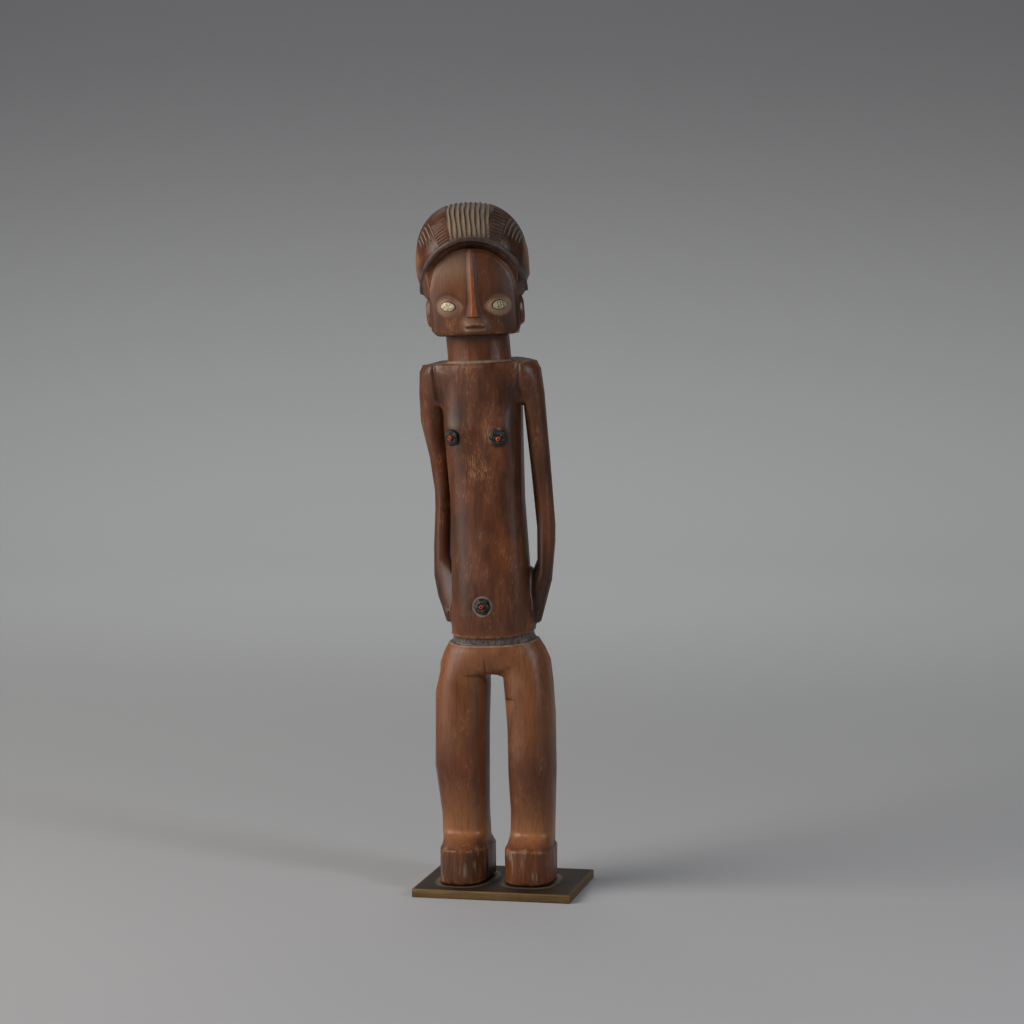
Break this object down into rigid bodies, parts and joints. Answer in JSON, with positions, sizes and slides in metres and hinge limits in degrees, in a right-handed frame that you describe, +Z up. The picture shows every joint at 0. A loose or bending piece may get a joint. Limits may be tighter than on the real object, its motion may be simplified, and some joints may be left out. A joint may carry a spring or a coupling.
{
  "type": "carved wooden standing figure",
  "caption": "Slender carved wooden female figure, standing on a thin brass plate, with ribbed cap-like hair, shell eyes, and resin-set glass beads at breasts and navel.",
  "frame": {"origin": "centre of the brass plate's underside", "axes": "+Z up, the figure faces -Y, +X to the viewer's right as the figure is looked at from the front"},
  "size_m": [0.0985, 0.078, 0.4001],
  "materials": {
    "carved_wood": "hand-rubbed reddish-brown patina, satin",
    "patinated_brass": "dark brown patina, worn golden at the edges",
    "shell": "worn ivory shell",
    "black_resin": "rough black natural resin",
    "red_glass": "opaque red glass bead"
  },
  "bodies": {
    "root": {"figure": "carved_wood", "base_plate": "patinated_brass", "eye_inlay_left": "shell", "eye_inlay_right": "shell", "resin_breast_left": "black_resin", "resin_breast_right": "black_resin", "resin_navel": "black_resin", "bead_breast_left": "red_glass", "bead_breast_right": "red_glass", "bead_navel": "red_glass"}
  },
  "joints": []
}
